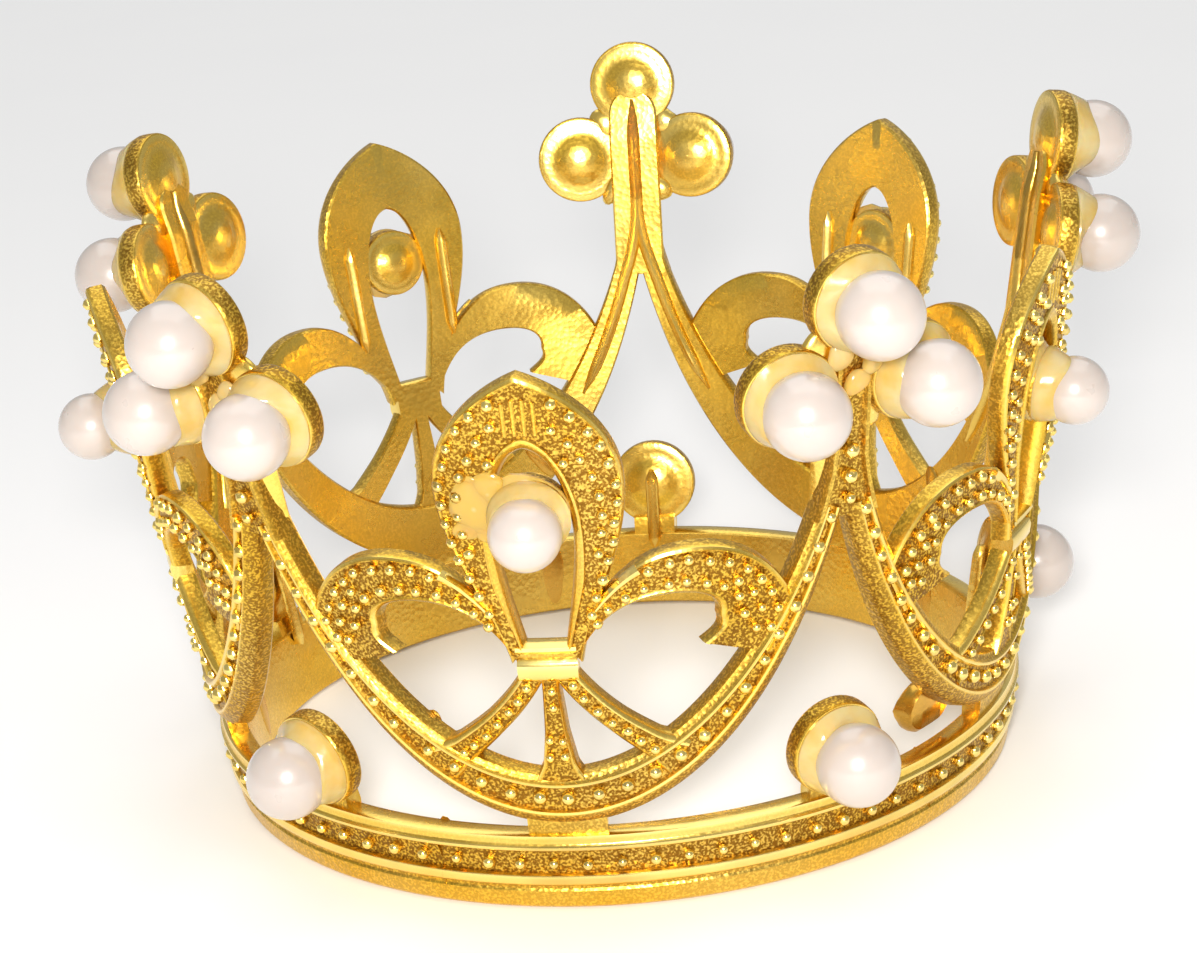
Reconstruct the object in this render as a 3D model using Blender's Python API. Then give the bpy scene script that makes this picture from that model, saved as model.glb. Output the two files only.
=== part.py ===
"""A small five-fold crown: five cast sectors soldered into a ring, with pearls glued into their cups.

Each sector is one casting. It carries a length of base band, the scalloped rib that hangs between two
stems, one stem with its three-cup trefoil finial, a disc that stands on the band under the stem, and one
fleur medallion. Sizes are in metres. The crown stands on z = 0 and its axis is +Z.

The wall is drawn flat and then rolled round the flaring ring. A flat point is (u, z): u is the distance
along the wall at the reference radius, z is the height.
"""

import math

import bmesh
import bpy
from mathutils import Matrix, Vector
from mathutils.geometry import delaunay_2d_cdt, interpolate_bezier

MM = 0.001

# Overall sizes.
SECTORS = 5
BASE_RADIUS = 30.5 * MM        # outside of the base band, at z = 0
FLARE = 0.17                   # how much the wall's radius grows for each unit of height
CROWN_HEIGHT = 47.8 * MM       # top of the trefoils' upper cups
REFERENCE_HEIGHT = 20.6 * MM   # the height at which u is a true distance along the wall

# Walls. Depths are measured inwards from the wall's outer face.
RIB_DEPTH = 2.0 * MM           # base band, scalloped rib and stems
FLEUR_FACE = 0.3 * MM          # front of the medallion
FLEUR_BACK = 1.6 * MM          # back of the medallion
FIT_GAP = 0.3 * MM             # between any two pieces that touch
POINT_SPACING = 2.6 * MM       # along a drawn edge

# Base band and scalloped rib.
BAND_HEIGHT = 6.1 * MM
SCALLOP_WIDTH = 4.2 * MM       # at the bottom of the swag
ARM_WIDTH = 2.4 * MM           # where the rib has become an arm
SCALLOP_RISE = 0.8 * MM        # clear height between the band and the rib's lower edge
WEB_WIDTH = 6.2 * MM           # the web that joins the rib to the band
SEAM_ANGLE = math.radians(18)  # the soldered seam, before each medallion's centre line

# Stem and cups.
STEM_WIDTH = 4.6 * MM
STEM_LENGTH = 10.9 * MM        # from the arms' fork to the side cups
CUP_RADIUS = 3.6 * MM
CUP_SPREAD = 4.5 * MM          # side cups from the stem's centre line
CUP_STEP = 6.1 * MM            # upper cup above the side cups
CUP_LIP = 0.5 * MM             # the rim's wall
CUP_RIM = 0.2 * MM             # the rim stands this far out of the wall
CUP_FLOOR_DEPTH = 0.65 * MM
CUP_PLATE_DEPTH = 1.35 * MM    # the flat back round the cup's dome
CUP_BACK_DEPTH = 1.9 * MM      # the dome's deepest point
BASE_DISC_RISE = 3.9 * MM      # from the band's top edge to the base disc's centre
NECK_WIDTH = 4.0 * MM

# Medallion.
MEDALLION_HEIGHT = 42.0 * MM
MEDALLION_HALF_WIDTH = 6.2 * MM
MEDALLION_CUP_HEIGHT = 31.7 * MM
MEDALLION_CUP_RADIUS = 2.75 * MM
MEDALLION_CUP_FLOOR_DEPTH = 0.35 * MM
COLLAR_BOTTOM = 18.8 * MM
COLLAR_TOP = 21.7 * MM
COLLAR_HALF_WIDTH = 2.2 * MM

# Pearls and the pegs that they are glued to.
PEARL_RADIUS = 3.0 * MM
MEDALLION_PEARL_RADIUS = 2.5 * MM
PEG_RADIUS = 0.5 * MM
PEG_REACH = 1.0 * MM           # the peg's end stands this far out of the wall
ROUND_SIDES = 12

# Closing lug, soldered behind the last seam.
LUG_SECTOR = 1
LUG_START = 11.0 * MM          # before the medallion's centre line
LUG_LENGTH = 6.3 * MM
LUG_RISE = 0.5 * MM            # clear height between the band and the lug
LUG_HEIGHT = 4.0 * MM
LUG_THICKNESS = 1.8 * MM

# Worked out from the sizes above.
REFERENCE_RADIUS = BASE_RADIUS + FLARE * REFERENCE_HEIGHT
HALF_PITCH = math.pi * REFERENCE_RADIUS / SECTORS
SEAM = SEAM_ANGLE * REFERENCE_RADIUS
TOP_CUP_HEIGHT = CROWN_HEIGHT - CUP_RADIUS / math.hypot(1, FLARE)
SIDE_CUP_HEIGHT = TOP_CUP_HEIGHT - CUP_STEP
FORK_HEIGHT = SIDE_CUP_HEIGHT - STEM_LENGTH
BASE_DISC_HEIGHT = BAND_HEIGHT + BASE_DISC_RISE
SCALLOP_LINE = BAND_HEIGHT + SCALLOP_RISE + SCALLOP_WIDTH / 2


def clear_scene():
    for item in list(bpy.data.objects):
        bpy.data.objects.remove(item, do_unlink=True)


def make_material(name, colour, roughness, metallic):
    material = bpy.data.materials.new(name)
    material.use_nodes = True
    shader = material.node_tree.nodes["Principled BSDF"]
    shader.inputs["Base Color"].default_value = (*colour, 1)
    shader.inputs["Roughness"].default_value = roughness
    shader.inputs["Metallic"].default_value = metallic
    return material


# Flat drawing.

def bezier(start, first_handle, last_handle, end):
    """Points along one cubic curve, about POINT_SPACING apart, both ends included."""
    corners = [Vector((*point, 0)) for point in (start, first_handle, last_handle, end)]
    rough = interpolate_bezier(*corners, 16)
    length = sum((b - a).length for a, b in zip(rough, rough[1:]))
    count = max(3, round(length / POINT_SPACING) + 1)
    return [point.xy for point in interpolate_bezier(*corners, count)]


def mirrored(points, axis=0.0):
    return [Vector((2 * axis - point.x, point.y)) for point in reversed(points)]


def rectangle(low_u, low_z, high_u, high_z):
    """A box outline whose long level sides carry points, so that it can be rolled."""
    count = max(1, round((high_u - low_u) / POINT_SPACING))
    steps = [low_u + (high_u - low_u) * i / count for i in range(count + 1)]
    return [Vector((u, low_z)) for u in steps] + [Vector((u, high_z)) for u in reversed(steps)]


def ribbon(path, widths):
    """An outline that follows path, with a width for each of its points."""
    left = []
    right = []
    for i, point in enumerate(path):
        ahead = path[min(i + 1, len(path) - 1)]
        behind = path[max(i - 1, 0)]
        along = (ahead - behind).normalized()
        side = Vector((-along.y, along.x)) * widths[i] / 2
        left.append(point + side)
        right.append(point - side)
    return right + left[::-1]


def tapered(path, start_width, end_width):
    last = len(path) - 1
    return ribbon(path, [start_width + (end_width - start_width) * i / last for i in range(last + 1)])


def scallop_curve():
    """The rib's centre line, from the bottom of the swag up to the side cups' height."""
    rise = SIDE_CUP_HEIGHT - SCALLOP_LINE
    return bezier((0, SCALLOP_LINE),
                  (0.44 * HALF_PITCH, SCALLOP_LINE),
                  (0.92 * HALF_PITCH, SCALLOP_LINE + 0.33 * rise),
                  (1.03 * HALF_PITCH, SIDE_CUP_HEIGHT))


def scallop_at(height):
    """Where the rib's centre line passes a height."""
    curve = scallop_curve()
    for low, high in zip(curve, curve[1:]):
        if low.y <= height <= high.y:
            share = (height - low.y) / (high.y - low.y)
            return low.x + share * (high.x - low.x)
    return curve[-1].x


def rib_outline(extra_width=0.0, start=0.0):
    """Half of a swag, from start outwards: broad at the bottom, narrowing as it becomes an arm."""
    curve = [point for point in scallop_curve() if point.x >= start]
    narrowing = 0.55 * (SIDE_CUP_HEIGHT - SCALLOP_LINE)
    widths = []
    for point in curve:
        share = min(1, (point.y - SCALLOP_LINE) / narrowing)
        widths.append(SCALLOP_WIDTH + (ARM_WIDTH - SCALLOP_WIDTH) * share + extra_width)
    return ribbon(curve, widths)


def stem_outline(axis, extra_width=0.0):
    """The stem above the arms' fork, narrowing upwards."""
    foot = Vector((axis, FORK_HEIGHT))
    head = Vector((axis, TOP_CUP_HEIGHT - CUP_RADIUS + CUP_LIP))
    return tapered([foot, (foot + head) / 2, head],
                   STEM_WIDTH + extra_width, 0.7 * STEM_WIDTH + extra_width)


def frame_outlines():
    """Band, rib, arms, stem and webs of one sector, running over both seams."""
    rib = rib_outline()
    band = rectangle(-SEAM - BAND_HEIGHT, 0, 2 * HALF_PITCH - SEAM + BAND_HEIGHT, BAND_HEIGHT)
    web = rectangle(-WEB_WIDTH / 2, BAND_HEIGHT / 2, WEB_WIDTH / 2, SCALLOP_LINE)
    neck = rectangle(HALF_PITCH - NECK_WIDTH / 2, BAND_HEIGHT / 2,
                     HALF_PITCH + NECK_WIDTH / 2, BASE_DISC_HEIGHT - CUP_RADIUS + CUP_LIP)
    return [band, web, neck, rib, mirrored(rib), mirrored(rib, HALF_PITCH), stem_outline(HALF_PITCH)]


def seam_cutters():
    """Everything beyond the two seams, less half a fitting gap."""
    reach = 2 * HALF_PITCH
    first = -SEAM + FIT_GAP / 2
    last = 2 * HALF_PITCH - SEAM - FIT_GAP / 2
    return [rectangle(first - reach, -CROWN_HEIGHT, first, 2 * CROWN_HEIGHT),
            rectangle(last, -CROWN_HEIGHT, last + reach, 2 * CROWN_HEIGHT)]


def loop_outline():
    """The right half of the medallion's teardrop loop."""
    tip = MEDALLION_HEIGHT
    widest = 33.6 * MM
    hole_widest = 30.0 * MM
    outer = bezier((0, tip), (0.36 * MEDALLION_HALF_WIDTH, tip - 1.5 * MM),
                   (MEDALLION_HALF_WIDTH, tip - 4.0 * MM), (MEDALLION_HALF_WIDTH, widest))
    outer += bezier((MEDALLION_HALF_WIDTH, widest), (MEDALLION_HALF_WIDTH, 28.5 * MM),
                    (3.2 * MM, 24.5 * MM), (COLLAR_HALF_WIDTH, COLLAR_BOTTOM + 1.6 * MM))[1:]
    hole_half_width = MEDALLION_HALF_WIDTH - 3.55 * MM
    inner = bezier((1.4 * MM, COLLAR_TOP), (1.9 * MM, 24 * MM),
                   (hole_half_width, 27 * MM), (hole_half_width, hole_widest))
    inner += bezier((hole_half_width, hole_widest), (hole_half_width, 33 * MM),
                    (1.6 * MM, tip - 5.8 * MM), (0, tip - 5.4 * MM))[1:]
    foot = [Vector((0, COLLAR_BOTTOM + 1.6 * MM)), Vector((0, COLLAR_TOP))]
    return outer + foot + inner


def petal_outline():
    """The right scroll: out of the loop's foot, over the side hole, and hooked on to the arm."""
    arm = scallop_at(23.0 * MM)
    notch = scallop_at(19.3 * MM)
    top = bezier((3.6 * MM, 24.2 * MM), (6.4 * MM, 28.2 * MM),
                 (0.50 * arm, 28.4 * MM), (0.60 * arm, 28.3 * MM))
    top += bezier((0.60 * arm, 28.3 * MM), (0.80 * arm, 28.0 * MM),
                  (0.92 * arm, 26.0 * MM), (arm, 23.0 * MM))[1:]
    hook = [Vector((notch, 19.3 * MM)), Vector((0.80 * arm, 20.2 * MM)),
            Vector((0.73 * arm, 20.9 * MM)), Vector((0.68 * arm, 20.9 * MM))]
    under = bezier((0.68 * arm, 20.9 * MM), (0.72 * arm, 22.6 * MM),
                   (0.68 * arm, 24.6 * MM), (0.50 * arm, 24.8 * MM))
    under += bezier((0.50 * arm, 24.8 * MM), (0.32 * arm, 24.9 * MM),
                    (3.4 * MM, 23.6 * MM), (1.8 * MM, COLLAR_BOTTOM + 1.6 * MM))[1:]
    return top + hook[:-1] + under


def prong_outlines():
    """The three prongs that run from the collar down to the swag."""
    middle = [Vector((0, COLLAR_BOTTOM + 1.0 * MM)), Vector((0, 17.5 * MM)),
              Vector((0, 14.5 * MM)), Vector((0, SCALLOP_LINE + 0.3 * MM))]
    centre = ribbon(middle, [1.3 * MM, 1.3 * MM, 1.8 * MM, 3.8 * MM])
    landing = 11.8 * MM
    swag_side = scallop_at(landing)
    path = bezier((0.9 * MM, COLLAR_BOTTOM + 0.9 * MM), (3.0 * MM, 16.8 * MM),
                  (0.60 * swag_side, 14.4 * MM), (swag_side, landing))
    side = tapered(path, 1.7 * MM, 2.9 * MM)
    return [centre, side, mirrored(side)]


def fleur_outlines():
    loop = loop_outline()
    petal = petal_outline()
    collar = rectangle(-COLLAR_HALF_WIDTH, COLLAR_BOTTOM, COLLAR_HALF_WIDTH, COLLAR_TOP)
    return [loop, mirrored(loop), petal, mirrored(petal), collar, *prong_outlines()]


def disc_outline(u, z, radius, sides=32):
    turns = [2 * math.pi * side / sides for side in range(sides)]
    return [Vector((u + radius * math.cos(turn), z + radius * math.sin(turn))) for turn in turns]


def neighbour_outlines():
    """The arm, the stem and the side cup of the casting on the left, with a fitting gap round them."""
    cup = disc_outline(CUP_SPREAD - HALF_PITCH, SIDE_CUP_HEIGHT, CUP_RADIUS + 2 * FIT_GAP)
    return [mirrored(rib_outline(2 * FIT_GAP, SEAM)), stem_outline(-HALF_PITCH, 2 * FIT_GAP), cup]


def counter_clockwise(outline):
    area = sum(a.x * b.y - b.x * a.y for a, b in zip(outline, outline[1:] + outline[:1]))
    return outline if area > 0 else outline[::-1]


def flat_union(shapes, cutters):
    """Triangles that lie in any of the shapes and in none of the cutters."""
    points = []
    faces = []
    for outline in shapes + cutters:
        first = len(points)
        points += counter_clockwise(outline)
        faces.append(list(range(first, len(points))))
    result = delaunay_2d_cdt(points, [], faces, 0, 0.00001)
    corners, triangles, owners = result[0], result[2], result[5]
    kept = []
    for triangle, owner in zip(triangles, owners):
        if owner and max(owner) < len(shapes):
            kept.append(triangle)
    return corners, kept


# Rolling the flat drawing into the wall.

def wall_point(u, z, depth):
    radius = BASE_RADIUS + FLARE * z - depth
    angle = u / REFERENCE_RADIUS
    return Vector((radius * math.sin(angle), -radius * math.cos(angle), z))


def wall_normal(u):
    angle = u / REFERENCE_RADIUS
    return Vector((math.sin(angle), -math.cos(angle), -FLARE)).normalized()


def rolled_mesh(name, flat, front, back):
    """A closed wall between two depths, rolled from a flat set of triangles."""
    corners, triangles = flat
    mesh = bmesh.new()
    outer = {}
    inner = {}
    for index in sorted({i for triangle in triangles for i in triangle}):
        outer[index] = mesh.verts.new(wall_point(*corners[index], front))
        inner[index] = mesh.verts.new(wall_point(*corners[index], back))
    sides = {}
    for triangle in triangles:
        mesh.faces.new([outer[i] for i in triangle])
        mesh.faces.new([inner[i] for i in reversed(triangle)])
        for a, b in zip(triangle, triangle[1:] + triangle[:1]):
            if (b, a) in sides:
                del sides[(b, a)]
            else:
                sides[(a, b)] = True
    for a, b in sides:
        mesh.faces.new((outer[b], outer[a], inner[a], inner[b]))
    bmesh.ops.recalc_face_normals(mesh, faces=mesh.faces)
    data = bpy.data.meshes.new(name)
    mesh.to_mesh(data)
    mesh.free()
    return data


def turned_mesh(name, profile):
    """A round solid: profile is (radius, height) from one end of the axis to the other."""
    mesh = bmesh.new()
    points = [mesh.verts.new((radius, 0, height)) for radius, height in profile]
    edges = [mesh.edges.new(pair) for pair in zip(points, points[1:])]
    bmesh.ops.spin(mesh, geom=points + edges, cent=(0, 0, 0), axis=(0, 0, 1),
                   angle=2 * math.pi, steps=ROUND_SIDES)
    bmesh.ops.remove_doubles(mesh, verts=mesh.verts, dist=0.00001)
    bmesh.ops.recalc_face_normals(mesh, faces=mesh.faces)
    data = bpy.data.meshes.new(name)
    mesh.to_mesh(data)
    mesh.free()
    data.shade_smooth()
    data.set_sharp_from_angle(angle=math.radians(40))
    return data


def wall_seat(u, z):
    """A frame on the wall's outer face, with its own +Z pointing straight out of the wall."""
    turn = wall_normal(u).to_track_quat("Z", "Y").to_matrix().to_4x4()
    return Matrix.Translation(wall_point(u, z, 0)) @ turn


# The pieces.

def cup_mesh(name, radius, floor_depth):
    """A dished cup with a domed back and a peg standing in its middle."""
    return turned_mesh(name, [
        (0, -CUP_BACK_DEPTH),
        (0.35 * radius, -0.92 * CUP_BACK_DEPTH),
        (0.62 * radius, -CUP_PLATE_DEPTH),
        (radius, -CUP_PLATE_DEPTH),
        (radius, CUP_RIM),
        (radius - CUP_LIP, CUP_RIM),
        (0.6 * radius, -floor_depth),
        (PEG_RADIUS, -floor_depth),
        (PEG_RADIUS, PEG_REACH),
        (0, PEG_REACH),
    ])


def pearl_mesh(name, radius, floor_depth):
    """A pearl half drilled from below. Its own origin is on the wall, so it seats like its cup."""
    centre = radius + FIT_GAP - floor_depth
    drill = PEG_RADIUS + FIT_GAP
    drill_end = PEG_REACH + FIT_GAP
    start = math.asin(drill / radius)
    profile = [(0, drill_end), (drill, drill_end)]
    rings = ROUND_SIDES // 2
    for i in range(rings + 1):
        angle = start + (math.pi - start) * i / rings
        profile.append((radius * math.sin(angle) if i < rings else 0, centre - radius * math.cos(angle)))
    return turned_mesh(name, profile)


def seats():
    """Each pearl's name in a sector, its place on the wall, and whether it is a medallion's."""
    return [
        ("trefoil_pearl_left", HALF_PITCH - CUP_SPREAD, SIDE_CUP_HEIGHT, False),
        ("trefoil_pearl_top", HALF_PITCH, TOP_CUP_HEIGHT, False),
        ("trefoil_pearl_right", HALF_PITCH + CUP_SPREAD, SIDE_CUP_HEIGHT, False),
        ("base_pearl", HALF_PITCH, BASE_DISC_HEIGHT, False),
        ("medallion_pearl", 0, MEDALLION_CUP_HEIGHT, True),
    ]


def add_tool(name, data, matrix):
    """A construction body that is only joined into a casting."""
    tool = bpy.data.objects.new(name, data)
    tool.matrix_world = matrix
    tool.hide_render = True
    tool.display_type = "WIRE"
    bpy.context.collection.objects.link(tool)
    return tool


def casting_mesh():
    """One sector: the frame, the medallion and the five cups joined into one solid."""
    frame = rolled_mesh("sector_frame", flat_union(frame_outlines(), seam_cutters()), 0, RIB_DEPTH)
    fleur = rolled_mesh("sector_fleur", flat_union(fleur_outlines(), neighbour_outlines()),
                        FLEUR_FACE, FLEUR_BACK)
    big_cup = cup_mesh("cup", CUP_RADIUS, CUP_FLOOR_DEPTH)
    small_cup = cup_mesh("medallion_cup", MEDALLION_CUP_RADIUS, MEDALLION_CUP_FLOOR_DEPTH)
    body = add_tool("sector_body", frame, Matrix())
    tools = [add_tool("sector_fleur", fleur, Matrix())]
    for name, u, z, is_medallion in seats():
        tools.append(add_tool("cup_for_" + name, small_cup if is_medallion else big_cup, wall_seat(u, z)))
    for tool in tools:
        join = body.modifiers.new(tool.name, "BOOLEAN")
        join.operation = "UNION"
        join.solver = "EXACT"
        join.object = tool
    depsgraph = bpy.context.evaluated_depsgraph_get()
    data = bpy.data.meshes.new_from_object(body.evaluated_get(depsgraph))
    data.name = "casting"
    for tool in [body, *tools]:
        bpy.data.objects.remove(tool, do_unlink=True)
    data.materials.clear()
    data.shade_smooth()
    data.set_sharp_from_angle(angle=math.radians(35))
    return data


def lug_mesh():
    """A round-ended tab behind the rib."""
    radius = LUG_HEIGHT / 2
    first = -LUG_START + radius
    last = -LUG_START + LUG_LENGTH - radius
    middle = BAND_HEIGHT + LUG_RISE + radius
    outline = []
    for centre, start in ((last, -90), (first, 90)):
        for step in range(7):
            angle = math.radians(start + 30 * step)
            outline.append(Vector((centre + radius * math.cos(angle), middle + radius * math.sin(angle))))
    near = RIB_DEPTH + FIT_GAP
    return rolled_mesh("lug", flat_union([outline], []), near, near + LUG_THICKNESS)


def place(name, data, material, parent, matrix):
    piece = bpy.data.objects.new(name, data)
    if not data.materials:
        data.materials.append(material)
    piece.parent = parent
    piece.matrix_local = matrix
    bpy.context.collection.objects.link(piece)
    return piece


def build():
    clear_scene()
    gold = make_material("gilt_casting", (0.83, 0.55, 0.11), 0.28, 1.0)
    dull_gold = make_material("gilt_lug", (0.72, 0.46, 0.09), 0.38, 1.0)
    nacre = make_material("pearl", (0.86, 0.79, 0.76), 0.18, 0.0)

    crown = bpy.data.objects.new("crown_axis", None)
    bpy.context.collection.objects.link(crown)
    casting = casting_mesh()
    pearl = pearl_mesh("pearl", PEARL_RADIUS, CUP_FLOOR_DEPTH)
    small_pearl = pearl_mesh("medallion_pearl", MEDALLION_PEARL_RADIUS, MEDALLION_CUP_FLOOR_DEPTH)
    turn = 2 * math.pi / SECTORS
    for sector in range(SECTORS):
        number = sector + 1
        body = place(f"casting_{number}", casting, gold, crown, Matrix.Rotation(sector * turn, 4, "Z"))
        for name, u, z, is_medallion in seats():
            data = small_pearl if is_medallion else pearl
            place(f"{name}_{number}", data, nacre, body, wall_seat(u, z))
        if sector == LUG_SECTOR:
            place("closing_lug", lug_mesh(), dull_gold, body, Matrix())


build()
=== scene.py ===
# %% [markdown]
# # A small gilt crown set with pearls
# The crown is five castings soldered into a ring. Each casting has a length of beaded base band, a beaded
# swag that rises into two arms, a stem with a trefoil of pearl cups, and a pierced medallion.
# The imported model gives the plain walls. This lesson gives them their relief, their pearls and their finish.

# %% The frame
import math

import bpy
import numpy as np
from mathutils import Matrix


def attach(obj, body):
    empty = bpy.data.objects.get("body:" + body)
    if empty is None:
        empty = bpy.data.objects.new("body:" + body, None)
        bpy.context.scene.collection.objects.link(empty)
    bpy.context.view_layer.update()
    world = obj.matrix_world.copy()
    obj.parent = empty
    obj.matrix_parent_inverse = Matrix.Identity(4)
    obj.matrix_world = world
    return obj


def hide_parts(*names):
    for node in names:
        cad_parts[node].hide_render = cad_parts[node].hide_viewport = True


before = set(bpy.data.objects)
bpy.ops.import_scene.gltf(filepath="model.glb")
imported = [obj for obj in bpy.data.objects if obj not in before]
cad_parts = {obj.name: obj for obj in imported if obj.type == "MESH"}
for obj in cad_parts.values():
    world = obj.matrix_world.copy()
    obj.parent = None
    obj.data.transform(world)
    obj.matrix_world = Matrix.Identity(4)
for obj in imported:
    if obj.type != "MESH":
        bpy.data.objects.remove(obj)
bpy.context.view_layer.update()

print("nodes in the frame:", len(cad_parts))


# %% [markdown]
# ## Sizes
# A jeweller draws such a wall flat and then rolls it. So do we: a place on the wall is (u, z), with u the
# distance round the wall at mid height and z the height, both in millimetres. `out` is how far a point
# stands proud of the wall's outer face. Every outline below is drawn in those three numbers, and so is a
# cup's place, though the trefoil's and the base cup's u is counted from the stem.

# %% Driving sizes
MM = 0.001
SECTORS = 5
TURN = 2 * math.pi / SECTORS
BASE_RADIUS = 30.5
FLARE = 0.17                   # how much the radius grows for each unit of height
REFERENCE_HEIGHT = 20.6
REFERENCE_RADIUS = BASE_RADIUS + FLARE * REFERENCE_HEIGHT
HALF_PITCH = math.pi * REFERENCE_RADIUS / SECTORS
SEAM = math.radians(18) * REFERENCE_RADIUS   # the soldered seam, before each medallion's centre line
BAND_HEIGHT = 6.1
SIDE_CUP = (4.5, 38.1)
TOP_CUP = (0.0, 44.2)
BASE_CUP = (0.0, 10.0)
MEDALLION_CUP = (0.0, 31.7)
CUP_RADIUS = 3.6
SMALL_CUP_RADIUS = 2.75
PEARL_RADIUS = 3.0
SMALL_PEARL_RADIUS = 2.5
PEARL_CENTRE = 2.65            # how far a pearl's middle stands out of the wall
SMALL_PEARL_CENTRE = 2.45


# %% [markdown]
# ## Rolling the flat wall into a ring
# The ring flares, so the radius grows with the height. `seat` is for round things that stand square on the
# wall, such as cups and pearls: it gives the three directions of the wall at one place.

# %% Rolling
def roll(u, z, out, sector):
    """Radius is the base radius plus flare times height plus out; angle is u over the reference radius."""
    angle = u / REFERENCE_RADIUS + sector * TURN
    radius = BASE_RADIUS + FLARE * z + out
    return np.stack([radius * np.sin(angle), -radius * np.cos(angle), z + 0 * angle], axis=-1) * MM


def seat(u, z, sector):
    """Origin on the wall, then unit vectors along the wall, up the wall and straight out of it."""
    angle = np.asarray(u) / REFERENCE_RADIUS + sector * TURN
    zero = 0 * angle
    slope = math.hypot(1, FLARE)
    along = np.stack([np.cos(angle), np.sin(angle), zero], -1)
    up = np.stack([FLARE * np.sin(angle), -FLARE * np.cos(angle), zero + 1], -1) / slope
    outward = np.stack([np.sin(angle), -np.cos(angle), zero - FLARE], -1) / slope
    return roll(np.asarray(u, float), np.asarray(z, float), 0, sector), along, up, outward


# %% [markdown]
# ## Curves
# Every edge is a Bezier curve or a few of them end to end. `even` walks along a curve in equal steps, so
# that the beads and the facets come out evenly spaced.

# %% Curves
def bezier(start, first, last, end, count=60):
    """The cubic blend (1-t)^3 a + 3(1-t)^2 t b + 3(1-t) t^2 c + t^3 d, for t from 0 to 1."""
    t = np.linspace(0, 1, count)[:, None]
    a, b, c, d = (np.array(p, float) for p in (start, first, last, end))
    return (1 - t) ** 3 * a + 3 * (1 - t) ** 2 * t * b + 3 * (1 - t) * t ** 2 * c + t ** 3 * d


def even(curve, count):
    """The same curve at count places, equally far apart along its length."""
    steps = np.linalg.norm(np.diff(curve, axis=0), axis=1)
    length = np.concatenate([[0], np.cumsum(steps)])
    places = np.linspace(0, length[-1], count)
    return np.stack([np.interp(places, length, curve[:, i]) for i in range(curve.shape[1])], axis=1)


def arc_length(curve):
    return float(np.linalg.norm(np.diff(curve, axis=0), axis=1).sum())


def chain(*curves):
    """Curves end to end, with the shared points kept once."""
    return np.concatenate([curves[0]] + [curve[1:] for curve in curves[1:]])


def flipped(curve, axis=0.0):
    """The mirror image across the upright line u = axis."""
    return np.stack([2 * axis - curve[:, 0], curve[:, 1]], axis=1)


def edges(path, half):
    """The two edges of a strip: the path moved left and right along its own normal."""
    along = np.gradient(path, axis=0)
    along /= np.linalg.norm(along, axis=1)[:, None]
    side = np.stack([-along[:, 1], along[:, 0]], axis=1) * np.asarray(half)[:, None]
    return path - side, path + side


def between(edge_a, edge_b, fraction):
    return edge_a + (edge_b - edge_a) * fraction


# %% [markdown]
# ## From profile to solid
# A strip of relief is one profile carried along two edges. A profile point says which share of the width it
# sits at, how many millimetres it is moved from there, how far out it stands, and how rough it is cast:
# 0 is polished, 1 is the stippled ground. The profile goes once round the metal, front and back, so each
# strip is a closed solid.

# %% Shells
FULL_WIDTH = 3.0               # a narrower strip has its rails squeezed in the same share


def shell(points, rough, closed_path=False):
    """Quads between neighbouring rows and columns of a grid of points, with a fan over each open end."""
    rows, columns = points.shape[:2]
    index = np.arange(rows * columns).reshape(rows, columns)
    here = index if closed_path else index[:-1]
    there = np.roll(index, -1, axis=0) if closed_path else index[1:]
    quads = np.stack([here, np.roll(here, -1, 1), np.roll(there, -1, 1), there], -1).reshape(-1, 4)
    verts = points.reshape(-1, 3)
    marks = np.broadcast_to(rough, (rows, columns)).reshape(-1)
    triangles = np.zeros((0, 3), int)
    if not closed_path:
        middle = rows * columns
        first, last = index[0], index[-1]
        start_fan = np.stack([np.full(columns, middle), np.roll(first, -1), first], -1)
        end_fan = np.stack([np.full(columns, middle + 1), last, np.roll(last, -1)], -1)
        triangles = np.concatenate([start_fan, end_fan])
        verts = np.concatenate([verts, points[:1].mean(1), points[-1:].mean(1)])
        marks = np.concatenate([marks, marks[:2] * 0])
    return right_way_out(verts, quads, triangles, marks)


def right_way_out(verts, quads, triangles, marks):
    """A closed shell's signed volume is positive when its faces point outwards; if not, they are turned."""
    middle = verts.mean(0)
    corners = np.concatenate([quads[:, :3], quads[:, [0, 2, 3]], triangles])
    a, b, c = (verts[corners[:, i]] - middle for i in range(3))
    if np.einsum("ij,ij->", a, np.cross(b, c)) < 0:
        quads, triangles = quads[:, ::-1], triangles[:, ::-1]
    return verts, quads, triangles, marks


def strip(edge_a, edge_b, profile, sector, lift=0.0):
    """Each profile point lies at share x width + shift from edge a towards edge b, and stands out + lift."""
    share, shift, out, rough = np.array(profile, float).T
    across = edge_b - edge_a
    width = np.linalg.norm(across, axis=1)
    across = across / width[:, None]
    squeeze = np.minimum(1, width / FULL_WIDTH)[:, None]
    places = share[None, :] * width[:, None] + shift[None, :] * squeeze
    flat = edge_a[:, None, :] + across[:, None, :] * places[:, :, None]
    rise = out[None, :] + np.broadcast_to(lift, len(edge_a))[:, None]
    return shell(roll(flat[..., 0], flat[..., 1], rise, sector), rough[None, :])


def turned(profile, u, z, sector, sides, rough=0.0):
    """A profile of (radius, out) turned about the line that stands square on the wall at (u, z).

    `rough` is the ground, one number for all of it or one for each profile point.
    """
    origin, along, up, outward = seat(u, z, sector)
    radius, out = np.array(profile, float).T
    angle = np.linspace(0, 2 * math.pi, sides, endpoint=False)
    ring = along * np.cos(angle)[:, None] + up * np.sin(angle)[:, None]
    points = origin + (radius[:, None, None] * ring[None] + out[:, None, None] * outward) * MM
    return shell(points, np.zeros((len(profile), 1)) + np.reshape(rough, (-1, 1)))


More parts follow.
